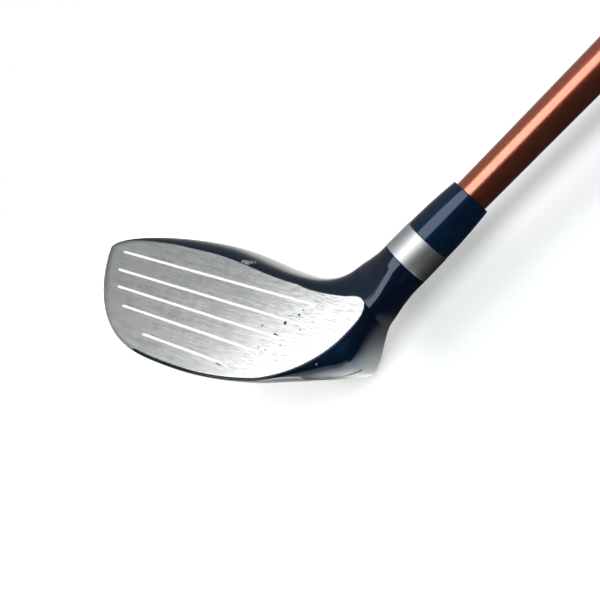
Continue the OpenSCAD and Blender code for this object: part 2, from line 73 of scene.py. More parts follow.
# Pieces on the shaft axis
hosel_d, hosel_top = 13.9, 53.4
ring_h, ring_top_d = 8, 13.5
ferrule_h, ferrule_foot_d, ferrule_top_d, ferrule_swell = 15.1, 13.3, 11.1, 0.2
shaft_bottom, tip_end, tip_d, butt_d = 22.9, 104.9, 9.4, 15.2
tip_wall, butt_wall = 2, 1.1
tape = 0.35
grip_len, grip_mouth_r, grip_butt_r = 266, 8.5, 13.2
grip_lip_len, grip_lip, grip_step = 7, 0.6, 0.56
cap_h, cap_r, cap_edge = 5, 14.3, 1.8
vent_d = 3

# Powers of the head's outlines, fitted to the photograph
power_top, power_low, power_toe = 2.0, 2.85, 1.39
power_crown, power_plan = 1.8, 2.2
power_lower_edge, power_sole_rise, power_rear = 2.36, 2, 0.6
power_edge_half, power_tip, tip_share = 0.69, 0.58, 0.25
power_neck = 2.3

# Heel: slope underneath, power of the corner, where it leaves for the hosel, and waves
heel_rise, heel_corner = 0.34, 8
heel_leave, heel_leave_power = 0.48, 0.7
heel_wave_from = 0.25
heel_waves = ((0, -0.58), (1, -0.66), (2, -0.09), (4, -0.96))

# Fullness of the sections' arcs, and sizes that settle their ends
full_circle = 0.5523
full_face, full_crown_front, full_crown_back = 0.75, 0.6, 0.56
full_rear, full_sole = 0.55, 0.75
edge_share, crown_lift, fan_run = 0.25, 0.3, 26
front_half, front_half_top = 0.2, 0.02

# Fine sizes that only the finish has
face_gap = 0.05
face_bevel = 0.22
face_show = 0.95
edge_round = 0.15
edge_step = 0.3 * edge_round
ferrule_round = 0.3
edge_break, edge_break_run = 0.42, 8
edge_break_early, edge_break_fade = 0.06, 0.12
neck_flow = 3
join_distance = 1e-7
least_spacing = 1e-6

# Pocket of the face: depth, least opening, shares it shuts to, and rows (share open, share shut, deep)
pocket_depth, pocket_least, pocket_closed = 1.1, 0.02, (0.25, 0.75)
pocket_rows = ((0, 0, 0), (0.001, 0.3, 1), (0.5, 0.5, 1), (0.999, 0.7, 1), (1, 1, 0))

# Where the paint ends: shares of the sole arc in front and at the heel, turn, skirt share, and toe
bare_front, bare_front_heel, bare_heel_turn, bare_rear = 0.905, 0.66, 0.215, 0.24
bare_toe_x, bare_toe_run, bare_toe_more, bare_toe_point = -40, 6, 0.12, 0.5

# Rough lengths of the sole arc, the fan and the rear arc, and a length that counts as far
sole_arc_len, fan_len, rear_arc_len, far = 30, 50, 40, 9.0

# Sole plate: reach to heel and toe, ends of its rows, outline, and how far it stands out and sinks in
sole_plate_heel, sole_plate_toe, plate_ends = 9, 6, (0.05, 0.95)
plate_mid, plate_half, plate_power = 1.03, 0.63, 3
plate_rise, plate_sink = 0.06, 0.5

# Grip pattern: panels, their slanting grooves, and the ring groove between panels
panel_first, panel_last, panel_pitch, panel_len, panel_fade = 14, 254, 40, 34, 1.2
groove_count, groove_pitch, groove_half, groove_depth = 18, 6.5, 0.62, 0.4
ring_groove_half = 0.9

# Cap: dish, ring groove, and edge of the vent
dish_depth, dish_run = 0.35, 3
cap_groove_r, cap_groove_half = 7.5, 0.7
vent_round, vent_edge = 0.4, 0.8

# How finely the arcs of the head and the sole plate are divided
arc_steps = {"front": 14, "crown": 44, "rear": 40, "sole": 48}
plate_rows, plate_columns, plate_rim_steps = 120, 60, 3

# Chips in the paint: place at address and radius
chip_spots = (((-17.3, -6.7, 35.4), 0.55), ((-16.0, -6.6, 35.3), 0.8), ((-14.9, -6.2, 35.8), 0.7),
              ((-14.0, -5.7, 36.1), 0.5), ((16.5, -13.4, 14.6), 0.22))

# Scuff under the heel: places along it at address, and its spots
scuff_path = np.array([(17.6, -7.8, 11.15), (19.0, -6.15, 11.6), (20.9, -5.5, 12.3), (22.8, -5.75, 13.4),
                       (24.3, -5.6, 14.35), (25.2, -4.9, 15.15)])
scuff_count, scuff_r = 17, 0.5

# Pits in the face: heelward, up the face, radius
face_pits = ((3.7, 23.6, 0.5), (2.8, 19.5, 0.42), (2.2, 19.9, 0.3), (-2.6, 21.2, 0.22), (6.7, 26.8, 0.28),
             (7.2, 28.4, 0.2), (1.4, 15.0, 0.2), (-10.8, 7.4, 0.34), (-9.9, 7.2, 0.22), (5.0, 17.5, 0.18),
             (-0.9, 15.2, 0.18), (5.7, 13.4, 0.16), (8.7, 23.0, 0.16), (13.2, 20.0, 0.16))

# Range that a noise texture mostly keeps to, and the soft edge of a spot as shares of its radius
noise_range = (0.3, 0.7)
spot_edge = (0.85, 1.15)

# Derived places
hosel_r = hosel_d / 2
face_progression = face_lead + face_tip_z * np.tan(loft)
face_mid_x = -face_offset
toe_half = toe_reach + toe_edge
ring_top = hosel_top + ring_h
ferrule_top = ring_top + ferrule_h
shaft_top = club_length - cap_h
grip_bottom = shaft_top - grip_len


def mix(a, b, k):
    """Straight from a at k = 0 to b at k = 1."""
    return a + (b - a) * k


def shares(n, first=0):
    """Equal steps of one nth up to 1, from the first one asked for."""
    return np.arange(first, n + 1) / n


def ease(k):
    """Smooth step: 3k^2 - 2k^3 between 0 and 1."""
    c = np.clip(k, 0, 1)
    return c * c * (3 - 2 * c)


def swing(k):
    """Half a cosine wave from 0 to 1."""
    return (1 - np.cos(np.pi * np.clip(k, 0, 1))) / 2


def hollow(k):
    """Round trough: 1 - k^2, and 0 beyond k = 1."""
    return np.clip(1 - k ** 2, 0, 1)


def dome(k, power, end=None):
    """Quarter of a superellipse: 1 at k = 0, down to 0 at k = 1. The end may have a power of its own."""
    return np.maximum(0, 1 - np.clip(np.abs(k), 0, 1) ** power) ** (1 / (end or power))


def face_y(z):
    """Face plane: Y at a height."""
    return -face_progression + z * np.tan(loft)


toe_y = face_y(toe_z)
rear_y = head_depth + face_y(face_low_z)
notch_r = (np.cos(lie) * notch_z - np.sin(lie) * notch_x - hosel_r) / (1 - np.cos(lie))
pivot_z = notch_z + notch_r
hosel_q = notch_r + hosel_r
tip_turn = np.arctan2(face_tip_x - notch_x, pivot_z - face_tip_z) / lie
tip_q = np.hypot(face_tip_x - notch_x, pivot_z - face_tip_z)
edge_mid_q = pivot_z - (face_notch_top_z + face_notch_low_z) / 2
edge_half_q = (face_notch_top_z - face_notch_low_z) / 2
shaft_dir = np.array([np.cos(lie), 0, np.sin(lie)])
face_out = np.array([0, -np.cos(loft), np.sin(loft)])
face_up = np.array([0, np.sin(loft), np.cos(loft)])

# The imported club's own mounts give the turn and the place of the head
mounts = {m["name"]: m for m in frame["record"]["mounts"]}


def basis(a, b):
    """Square axes from a direction and a second one beside it."""
    a = np.asarray(a, float) / np.linalg.norm(a)
    c = np.cross(a, b)
    c = c / np.linalg.norm(c)
    return np.stack([a, np.cross(c, a), c], 1)


butt = mounts["butt_vent"]
turn_to_rest = basis(butt["axis"], mounts["strike_face"]["axis"]) @ basis(shaft_dir, face_out).T
rest_shift = butt["pos_m"] - turn_to_rest @ shaft_dir * (club_length - cap_h / 2) / 1000


def place(points):
    """Millimetres at address to metres at rest."""
    return np.asarray(points) / 1000 @ turn_to_rest.T + rest_shift


# Outlines of the head. A station is x on an upright section, or past the notch
# a turn from 0 to 1 round the notch's centre, where q is the distance from that centre.
def toe_k(x, reach=toe_half):
    """Way from the middle of the face to the toe, 0 to -1."""
    return (x - face_mid_x) / reach


def mid_k(x):
    """Way from the middle of the face to the notch, 0 to 1."""
    return np.clip((x - face_mid_x) / (notch_x - face_mid_x), 0, 1)


def face_edge_top(x, inset):
    """Upper edge of the face: a quarter superellipse at the toe, then half a cosine wave to the notch."""
    toe = toe_z + (face_top_z - inset - toe_z) * dome(toe_k(x, toe_reach - inset), power_top)
    return np.where(x < face_mid_x, toe, mix(face_top_z, face_notch_top_z, swing(mid_k(x))) - inset)


def face_edge_low(x, inset):
    """Lower edge of the face: a quarter superellipse at the toe, then a power curve up to the notch."""
    toe = toe_z - (toe_z - face_low_z - inset) * dome(toe_k(x, toe_reach - inset), power_low, power_toe)
    mid = mix(face_low_z, face_notch_low_z, mid_k(x) ** power_lower_edge) + inset
    return np.where(x < face_mid_x, toe, mid)


def crown_line(x):
    """Top of the head: a quarter superellipse at the toe, then half a cosine wave to the notch."""
    toe = toe_z + (crown_z - toe_z) * dome(toe_k(x), power_crown)
    return np.where(x < face_mid_x, toe, mix(crown_z, notch_z, swing(mid_k(x))))


def sole_line(x):
    """Bottom of the head: a quarter superellipse at the toe, then a power curve up to the notch."""
    toe = toe_z - toe_z * dome(toe_k(x), power_low, power_toe)
    return np.where(x < face_mid_x, toe, sole_notch_z * mid_k(x) ** power_sole_rise)


def inset_turn(inset):
    """Turn of the face's heel tip, less an inset measured along the hosel's middle."""
    return tip_turn - inset / hosel_q / lie


def edge_q(turn, side, inset):
    """Edges of the face past the notch: power curves that close on the heel tip, rounder near it."""
    left = np.clip(1 - turn / inset_turn(inset), 0, 1)
    power = mix(power_tip, power_edge_half, ease(left / tip_share))
    return mix(tip_q, edge_mid_q, left) + side * (edge_half_q - inset) * left ** power


def face_edge(x, turn, side, inset):
    """Upper edge of the face (side -1) or lower edge (side 1) as q, upright and past the notch."""
    z = face_edge_top(x, inset) if side < 0 else face_edge_low(x, inset)
    return np.where(turn > 0, edge_q(turn, side, inset), pivot_z - z)


def heel_q(turn):
    """Underside and upright side of the heel with a rounded corner, run into the hosel. A few cosine waves
    under a sine-squared bell bring it to the outline in the photograph."""
    a = np.maximum(turn * lie, 1e-9)
    under = (pivot_z - sole_notch_z) / (np.cos(a) + heel_rise * np.sin(a))
    side = (heel_reach - notch_x) / np.sin(a)
    corner = (under ** -heel_corner + side ** -heel_corner) ** (-1 / heel_corner)
    away = ease(np.clip((turn - heel_leave) / (1 - heel_leave), 0, 1) ** heel_leave_power)
    k = np.pi * np.clip((turn - heel_wave_from) / (1 - heel_wave_from), 0, 1)
    wave = sum(size * np.cos(n * k) for n, size in heel_waves)
    return mix(corner, notch_r + hosel_d, away) + np.sin(k) ** 2 * wave


def front_blend(turn):
    """0 up to the heel tip of the face, then a smooth step to 1 at the hosel."""
    return ease((turn - tip_turn) / (1 - tip_turn))


def rails(x, turn):
    """Five points [y, q] of each section: both face edges, crown, rear and sole, and the face's lean."""
    fan = turn > 0
    toe = x < face_mid_x
    blend = front_blend(turn)
    front_q = mix(tip_q, hosel_q, blend)
    half = mix(front_half, front_half_top, blend)
    upper = np.where(turn > inset_turn(-face_rim), front_q - half,
                     np.minimum(edge_q(turn, -1, -face_rim), front_q - half))
    rim_low = mix(face_rim_low, face_rim, ease(turn / rim_fade))
    lower = np.where(turn > inset_turn(-rim_low), front_q + half,
                     np.maximum(edge_q(turn, 1, -rim_low), front_q + half))
    settle = ease(turn)
    plan = np.where(toe, dome(toe_k(x), power_plan), 1)
    top_z = np.maximum(face_edge_top(x, -face_rim), mix(toe_z, crown_line(x), edge_share))
    low_z = np.minimum(face_edge_low(x, -face_rim_low), mix(toe_z, sole_line(x), edge_share))
    run = np.clip((x - face_mid_x + fan_run * turn) / (notch_x - face_mid_x + fan_run), 0, 1)
    back = np.where(toe, mix(toe_y, rear_y, plan), mix(rear_y, hosel_r, ease(run ** power_rear)))
    neck = neck_fill * np.sin(np.pi * turn ** power_neck) ** 2

    def front_y(q):
        return mix(face_y(pivot_z - q * np.cos(turn * lie)), -hosel_r, blend)

    def rail(turned, upright):
        return np.stack([np.where(fan, a, b) for a, b in zip(turned, upright)], -1)

    crown_up = pivot_z - np.maximum(crown_line(x), top_z + crown_lift * plan)
    return {
        "upper": rail((front_y(upper), upper), (face_y(top_z), pivot_z - top_z)),
        "lower": rail((front_y(lower), lower), (face_y(low_z), pivot_z - low_z)),
        "crown": rail((mix(crown_y, 0, settle), notch_r - neck), (mix(toe_y, crown_y, plan), crown_up)),
        "rear": rail((back, mix(pivot_z - rear_z, hosel_q, settle)),
                     (back, pivot_z - mix(toe_z, rear_z, plan))),
        "sole": rail((mix(sole_y, 0, settle), heel_q(turn)),
                     (mix(toe_y, sole_y, plan), pivot_z - sole_line(x))),
        "lean": np.where(fan, np.cos(turn * lie) * np.tan(loft) * (1 - blend), np.tan(loft)),
    }


def quarter(start, corner, end, full_start, full_end, t):
    """Bezier quarter arc of each section, pulled toward its corner by two fullness values."""
    p, c, q = start[:, None], corner[:, None], end[:, None]
    a = mix(p, c, full_start[:, None, None])
    b = mix(q, c, full_end[:, None, None])
    t = np.broadcast_to(t, (len(start), np.shape(t)[-1]))[:, :, None]
    return (1 - t) ** 3 * p + 3 * t * (1 - t) ** 2 * a + 3 * t * t * (1 - t) * b + t ** 3 * q


def section_arcs(x, turn):
    """The four quarter arcs of a section as functions of t from 0 to 1: front roll, crown, rear and sole."""
    r = rails(x, turn)
    settle = ease(turn)
    (upper_y, upper_q), (lower_y, lower_q) = r["upper"].T, r["lower"].T
    crown_q, sole_q, back_y = r["crown"][:, 1], r["sole"][:, 1], r["rear"][:, 0]

    def arc(start, corner_y, corner_q, end, *fullness):
        full_start, full_end = (mix(full, full_circle, settle) for full in fullness)
        corner = np.stack([corner_y, corner_q], -1)
        return lambda t: quarter(r[start], corner, r[end], full_start, full_end, t)

    whole_sole = arc("sole", lower_y - (sole_q - lower_q) * r["lean"], sole_q, "lower", full_sole, full_face)

    def sole(t):
        """The edge under the face is broken: the skin leaves it at a slope and runs back into the arc."""
        points = whole_sole(t)
        run = np.minimum(sole_q - lower_q, edge_break_run)[:, None]
        below = np.clip((points[..., 1] - lower_q[:, None]) / run, 0, 1)
        fade = ease((turn - tip_turn + edge_break_early) / edge_break_fade)
        slope = edge_break * (1 - fade)[:, None]
        return points + np.stack([slope * run * below * (1 - below) ** 2, 0 * below], -1)

    front_y = upper_y + (upper_q - crown_q) * r["lean"]
    return {"front": arc("upper", front_y, crown_q, "crown", full_face, full_crown_front),
            "crown": arc("crown", back_y, crown_q, "rear", full_crown_back, full_rear),
            "rear": arc("rear", back_y, sole_q, "sole", full_rear, full_sole),
            "sole": sole, "rails": r}


def lift(x, turn, yq):
    """[y, q] points of the sections to X, Y, Z at address."""
    a = (turn * lie)[:, None]
    y, q = yq[..., 0], yq[..., 1]
    return np.stack([x[:, None] + q * np.sin(a), y, pivot_z - q * np.cos(a)], -1)


# Meshes
def quad_grid(rows, columns, wrap_rows=False, wrap_columns=False):
    """Corner numbers of the quads between the rows and columns of a grid of points."""
    i = np.arange(rows if wrap_rows else rows - 1)[:, None]
    j = np.arange(columns if wrap_columns else columns - 1)[None]
    i2, j2 = (i + 1) % rows, (j + 1) % columns
    corners = (i * columns + j, i * columns + j2, i2 * columns + j2, i2 * columns + j)
    return np.stack(np.broadcast_arrays(*corners), -1).reshape(-1, 4)


def close_shell(mesh):
    """Points that fall together are joined, and all faces are turned outward."""
    shell = bmesh.new()
    shell.from_mesh(mesh)
    bmesh.ops.remove_doubles(shell, verts=shell.verts, dist=join_distance)
    bmesh.ops.recalc_face_normals(shell, faces=shell.faces)
    shell.to_mesh(mesh)
    shell.free()


def put(name, data):
    """A new object in the scene, at the origin."""
    thing = bpy.data.objects.new(name, data)
    bpy.context.scene.collection.objects.link(thing)
    return thing


def make_piece(name, points, faces, node, material, values=(), sharp=None):
    """A mesh from points at address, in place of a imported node. Edges sharper than an angle stay sharp."""
    mesh = bpy.data.meshes.new(name)
    mesh.from_pydata(place(points).tolist(), [], faces)
    mesh.polygons.foreach_set("use_smooth", np.ones(len(mesh.polygons), bool))
    for key, value in dict(values).items():
        mesh.attributes.new(key, "FLOAT", "POINT").data.foreach_set("value", value.astype(np.float32))
    close_shell(mesh)
    if sharp:
        mesh.set_sharp_from_angle(angle=np.radians(sharp))
    mesh.update()
    mesh.materials.append(material)
    piece = put(name, mesh)
    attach(piece, "root")
    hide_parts(node)


# Finishes
class Nodes:
    """A node tree, with calls that the finishes, the floor and the surround share."""
    steps_between = "LINEAR"

    def fill(self, sockets, values):
        """Sockets linked or set. Colours are three numbers."""
        for key, value in values.items():
            if isinstance(value, bpy.types.NodeSocket):
                self.tree.links.new(value, sockets[key])
            else:
                sockets[key].default_value = (*value, 1) if sockets[key].type == "RGBA" else value

    def node(self, kind, inputs=(), **options):
        n = self.tree.nodes.new("ShaderNode" + kind)
        for key, value in options.items():
            setattr(n, key, value)
        self.fill(n.inputs, dict(inputs))
        return n

    def span(self, value, low, high, to_low=0.0, to_high=1.0):
        """A value from one range to another, held at the ends."""
        inputs = {"Value": value, "From Min": low, "From Max": high, "To Min": to_low, "To Max": to_high}
        return self.node("MapRange", inputs, interpolation_type=self.steps_between).outputs[0]

    def math(self, operation, a, b):
        return self.node("Math", {0: a, 1: b}, operation=operation).outputs[0]

    def distance(self, a, b):
        return self.node("VectorMath", {0: a, 1: b}, operation="DISTANCE").outputs["Value"]

    def level(self, share, a, b):
        """Numbers a and b mixed by a share."""
        return self.node("Mix", {0: share, 2: a, 3: b}).outputs[0]


class Finish(Nodes):
    """A material of the club. Its place is the shaded point at address, in millimetres."""

    def __init__(self, name, **sockets):
        self.material = bpy.data.materials.new(name)
        self.material.use_nodes = True
        self.tree = self.material.node_tree
        self.shader = self.tree.nodes["Principled BSDF"]
        self.feed(**sockets)
        back = {"Vector": self.node("TexCoord").outputs["Object"], "Scale": (1000, 1000, 1000),
                "Rotation": Matrix(turn_to_rest.T.tolist()).to_euler(),
                "Location": (-1000 * turn_to_rest.T @ rest_shift).tolist()}
        self.place = self.node("Mapping", back).outputs[0]

    def feed(self, **sockets):
        self.fill(self.shader.inputs, {key.replace("_", " "): value for key, value in sockets.items()})

    def made(self, colour, rough, relief):
        """The material with its colour, roughness and relief fed in."""
        self.feed(Base_Color=colour, Roughness=rough, Normal=relief)
        return self.material

    def noise(self, scale, detail=3.0, rough=0.55, where=None):
        inputs = {"Vector": where or self.place, "Scale": scale, "Detail": detail, "Roughness": rough}
        return self.node("TexNoise", inputs).outputs[0]

    def streaks(self, scale, detail, rough, turn=(0, 0, 0)):
        """Noise in the head's millimetres, turned, then scaled apart along each axis."""
        turned = self.node("Mapping", {"Vector": self.place, "Rotation": turn}).outputs[0]
        drawn = self.node("Mapping", {"Vector": turned, "Scale": scale}).outputs[0]
        return self.noise(1.0, detail, rough, drawn)

    def tone(self, noise, low=0.0, high=1.0):
        """A noise spread over a range of its own."""
        return self.span(noise, *noise_range, low, high)

    def blend(self, share, a, b):
        """Colours a and b mixed by a share."""
        return self.node("Mix", {0: share, 6: a, 7: b}, data_type="RGBA").outputs[2]

    def bump(self, height, distance, under=None):
        """Relief of a height in millimetres, over another one if given."""
        inputs = {"Height": height, "Distance": distance / 1000}
        if under is not None:
            inputs["Normal"] = under
        return self.node("Bump", inputs).outputs[0]

    def axis(self, name):
        """The head's X, Y or Z at address, in millimetres."""
        return self.node("SeparateXYZ", {0: self.place}).outputs[name]

    def spots(self, marks, grain, ragged):
        """1 inside ragged round spots, each a point of the head and a radius, and 0 outside."""
        nearest = far
        for centre, radius in marks:
            away = self.math("DIVIDE", self.distance(self.place, centre), radius)
            nearest = self.math("MINIMUM", away, nearest)
        edge = self.math("ADD", nearest, self.tone(self.noise(grain), -ragged, ragged))
        return self.span(edge, *spot_edge, 1, 0)


def navy_lacquer():
    """Pearl navy over steel: clear coat with slight orange peel, hairlines, chips, and a bare satin sole."""
    f = Finish("navy_lacquer", Coat_Weight=1.0, Coat_Roughness=0.05, Specular_IOR_Level=0.0)
    inside = f.node("Attribute", attribute_name="bare").outputs["Fac"]
    bare = f.span(f.math("ADD", inside, f.tone(f.noise(1.5), -0.1, 0.1)), -0.06, 0.06)
    chips = f.spots(chip_spots, 2.2, 0.7)
    along = np.linspace(0, len(scuff_path) - 1, scuff_count)
    scuff = np.stack([np.interp(along, np.arange(len(scuff_path)), c) for c in scuff_path.T], -1)
    scuffed = f.spots([(tuple(p), scuff_r) for p in scuff], 1.6, 0.6)
    paint = f.blend(f.tone(f.noise(14.0, 2)), (0.002, 0.010, 0.028), (0.004, 0.016, 0.042))
    grain = f.streaks((2.4, 0.12, 2.4), 5, 0.65)
    steel = f.blend(f.tone(grain), (0.50, 0.505, 0.52), (0.68, 0.685, 0.69))
    metal = f.math("MAXIMUM", bare, chips)
    colour = f.blend(scuffed, f.blend(metal, paint, steel), (0.03, 0.032, 0.035))
    f.feed(Metallic=f.level(metal, 0.6, 1.0))
    hair = f.span(f.streaks((0.2, 3.0, 3.0), 2, 0.5, (0.4, 0.2, 0.9)), 0.62, 0.72)
    gloss = f.math("ADD", f.span(f.noise(0.12), 0.35, 0.7, 0.28, 0.36), f.math("MULTIPLY", hair, 0.12))
    rough = f.level(metal, gloss, f.tone(grain, 0.26, 0.4))
    f.feed(Coat_Weight=f.level(f.math("MAXIMUM", metal, scuffed), 1.0, 0.0))
    peel = f.bump(f.noise(0.9, 2), 0.004)
    lined = f.bump(f.math("MULTIPLY", grain, metal), 0.02, peel)
    relief = f.bump(f.math("SUBTRACT", 1.0, chips), 0.05, lined)
    f.feed(Coat_Normal=peel)
    return f.made(colour, rough, relief)


def brushed_face():
    """Brushed stainless face: clouded wear, dark streaks toward the heel, pits, and painted shade darkening
    the rim at the toe.
    """
    f = Finish("brushed_face", Metallic=1.0)
    along = f.streaks((0.08, 1.7, 1.7), 3, 0.55)
    cloud = f.noise(0.3, 5, 0.62)
    heel = f.span(f.axis("X"), -24, 6)
    steel = f.blend(f.tone(along), (0.56, 0.575, 0.57), (0.63, 0.645, 0.638))
    worn = f.blend(f.span(cloud, 0.4, 0.68, 0, 0.25), steel, (0.78, 0.79, 0.785))
    streak = f.span(f.streaks((0.3, 3.4, 3.4), 2, 0.5, (0, 0.05, 0)), 0.5, 0.64)
    streak = f.math("MULTIPLY", streak, f.math("MULTIPLY", heel, 0.55))
    lined = f.blend(streak, worn, (0.2, 0.205, 0.2))
    # Painted shade along the toe's edge: the steel darkens to blue-grey there in place of an edge that rolls
    # off
    side = f.span(f.axis("X"), face_mid_x, face_mid_x - toe_reach)
    off = f.math("MAXIMUM", f.span(f.axis("Z"), toe_z, face_low_z), f.span(f.axis("Z"), toe_z, face_top_z))
    out = f.math("ADD", f.math("POWER", side, power_low), f.math("POWER", off, power_toe))
    rim = f.math("MULTIPLY", f.span(out, 0.84, 0.99), f.span(side, 0.6, 0.9, 0, 0.85))
    shaded_toe_rim = f.blend(rim, lined, (0.23, 0.26, 0.30))
    pits = f.spots([(tuple(on_face(x, v, 0.0)), r) for x, v, r in face_pits], 2.6, 0.5)
    colour = f.blend(pits, shaded_toe_rim, (0.035, 0.032, 0.03))
    matt = f.math("ADD", f.span(f.axis("X"), -56, -14, 0.06, 0), f.span(cloud, 0.4, 0.7, 0, 0.03))
    rough = f.math("ADD", f.tone(along, 0.21, 0.27), matt)
    brushed = f.bump(along, 0.002)
    return f.made(colour, rough, f.bump(f.math("SUBTRACT", 1.0, pits), 0.06, brushed))


def score_white():
    """White fill of the score lines, a little soiled."""
    f = Finish("score_white", Roughness=0.5)
    soil = f.noise(1.2, 4)
    colour = f.blend(f.span(soil, 0.56, 0.75), (0.95, 0.95, 0.94), (0.84, 0.83, 0.81))
    rough = f.tone(soil, 0.42, 0.6)
    return f.made(colour, rough, f.bump(f.noise(4.0), 0.02))


def sole_satin():
    """Satin steel sole: grain from front to back, and scuffs from turf."""
    f = Finish("sole_satin", Metallic=1.0)
    grain = f.streaks((2.8, 0.07, 1.0), 6, 0.65)
    scuffs = f.span(f.streaks((0.9, 0.05, 0.3), 4, 0.6, (0, 0, 0.25)), 0.62, 0.7)
    steel = f.blend(f.tone(grain), (0.46, 0.465, 0.475), (0.66, 0.665, 0.67))
    colour = f.blend(f.math("MULTIPLY", scuffs, 0.6), steel, (0.36, 0.36, 0.37))
    rough = f.math("ADD", f.tone(grain, 0.24, 0.38), f.math("MULTIPLY", scuffs, 0.15))
    lines = f.bump(grain, 0.015)
    return f.made(colour, rough, f.bump(f.math("SUBTRACT", 1.0, scuffs), 0.02, lines))


def turned_ring():
    """Aluminium trim ring: fine turning lines round the shaft axis."""
    f = Finish("turned_ring", Metallic=1.0)
    lines = f.streaks((0.08, 0.08, 4.5), 5, 0.75, (0, lie - np.pi / 2, 0))
    soft = f.noise(0.3)
    colour = f.blend(f.tone(lines), (0.55, 0.555, 0.565), (0.80, 0.80, 0.805))
    rough = f.math("ADD", f.tone(lines, 0.42, 0.54), f.span(soft, 0.4, 0.7, 0, 0.06))
    return f.made(colour, rough, f.bump(lines, 0.02))


def ferrule_gloss():
    """Polished navy-black ferrule with faint turning lines and a handling haze."""
    f = Finish("ferrule_gloss", Metallic=0.6, Coat_Weight=0.8, Coat_Roughness=0.05, Specular_IOR_Level=0.0)
    lines = f.streaks((0.1, 0.1, 2.5), 3, 0.6, (0, lie - np.pi / 2, 0))
    haze = f.noise(0.25, 4)
    colour = f.blend(f.span(haze, 0.4, 0.7), (0.003, 0.017, 0.046), (0.005, 0.025, 0.062))
    rough = f.math("ADD", f.span(haze, 0.35, 0.7, 0.26, 0.34), f.span(lines, 0.5, 0.8, 0, 0.08))
    return f.made(colour, rough, f.bump(lines, 0.006))


def copper_flake():
    """Copper flake under a clear coat, over a graphite shaft."""
    f = Finish("copper_flake", Metallic=0.95, Coat_Weight=1.0, Coat_Roughness=0.03, IOR=1.5)
    flake = f.node("TexVoronoi", {"Vector": f.place, "Scale": 9.0})
    sparkle = f.node("SeparateColor", {0: flake.outputs["Color"]}).outputs[0]
    copper = f.blend(f.span(sparkle, 0, 1), (0.54, 0.125, 0.072), (0.76, 0.21, 0.13))
    cloud = f.span(f.noise(0.06), 0.35, 0.7, 0, 0.35)
    colour = f.blend(cloud, copper, (0.60, 0.15, 0.085))
    rough = f.span(sparkle, 0, 1, 0.16, 0.24)
    return f.made(colour, rough, f.bump(sparkle, 0.006))


def grip_rubber():
    """Black rubber: fine pebble, with a pale dust in patches that also roughens it."""
    f = Finish("grip_rubber", IOR=1.5)
    pebble = f.noise(3.0)
    dust = f.noise(0.15, 4)
    dusty = f.span(dust, 0.45, 0.75)
    colour = f.blend(dusty, (0.012, 0.012, 0.0125), (0.026, 0.0255, 0.025))
    rough = f.math("ADD", f.tone(pebble, 0.52, 0.68), f.span(dust, 0.4, 0.7, 0, 0.1))
    return f.made(colour, rough, f.bump(pebble, 0.05))


def hidden_finish(name, pale, deep, metallic, rough):
    """Finish of a piece that sits inside the club: two mottled tones with a fine grain."""
    f = Finish(name, Metallic=metallic)
    grain = f.noise(1.2, 4)
    colour = f.blend(f.span(grain, 0.35, 0.65), deep, pale)
    rough = f.tone(grain, rough - 0.08, rough + 0.08)
    return f.made(colour, rough, f.bump(grain, 0.02))


# Head body: the outer skin with a pocket for the face plate
def head_stations():
    """Stations from the toe to the top of the fan, by sines of equal angles toward both ends of the face."""
    face_reach = toe_reach + face_gap
    toe_cap = face_mid_x - toe_half * np.cos(np.arccos(face_reach / toe_half) * shares(8, 1)[:-1])
    toe = face_mid_x - face_reach * np.cos(np.pi / 2 * shares(60)[:-1])
    mid = mix(face_mid_x, notch_x, shares(48))
    face_turn = inset_turn(-face_gap)
    fan = np.append(face_turn * np.sin(np.pi / 2 * shares(72, 1)), mix(face_turn, 1, shares(48, 1)))
    upright = np.hstack([toe_cap, toe, mid])
    return np.append(upright, np.full(len(fan), notch_x)), np.append(np.zeros(len(upright)), fan)


def flowing_neck(rings, run):
    """The neck's rings, each a bell-weighted mean of those around it, which fades in above the face and out
    toward the hosel's top. Run is the way up the neck at its middle."""
    first, last = tip_turn * lie * hosel_q, run[-1]
    bell = np.exp(-((run[:, None] - run[None]) / neck_flow) ** 2 / 2)
    bell = bell * np.maximum(np.gradient(run), least_spacing)[None]
    bell = bell / bell.sum(1, keepdims=True)
    mean = np.tensordot(bell, rings, 1) + (run - bell @ run)[:, None, None] * shaft_dir
    share = ease((run - first) / (2 * neck_flow)) * ease((last - run) / (2 * neck_flow))
    return mix(rings, mean, share[:, None, None])


def bare_sole(x, turn, t, n):
    """About how far each point of a ring lies inside the unpainted sole, in millimetres; below 0 is painted.
    The paint ends under the leading edge, across the heel and along the skirt."""
    along = np.where(turn > 0, turn / bare_heel_turn, 0)[:, None]
    at_toe = (bare_toe_x - x)[:, None]
    lower_line = mix(bare_front, bare_front_heel, np.clip(along, 0, 1) ** 2)
    lower_line = lower_line + bare_toe_more * ease(at_toe / bare_toe_run)
    sole = (lower_line - t["sole"][None]) * sole_arc_len
    heel = (bare_heel_turn - turn)[:, None] * fan_len
    rear = (t["rear"][None] - bare_rear) * rear_arc_len
    front = np.full((len(x), len(t["front"]) + len(t["crown"])), -far)
    face = np.repeat(np.minimum(at_toe, far), n - front.shape[1] - rear.shape[1] - sole.shape[1], 1)
    return np.hstack([front, np.minimum(rear, heel), np.minimum(sole, heel), face])


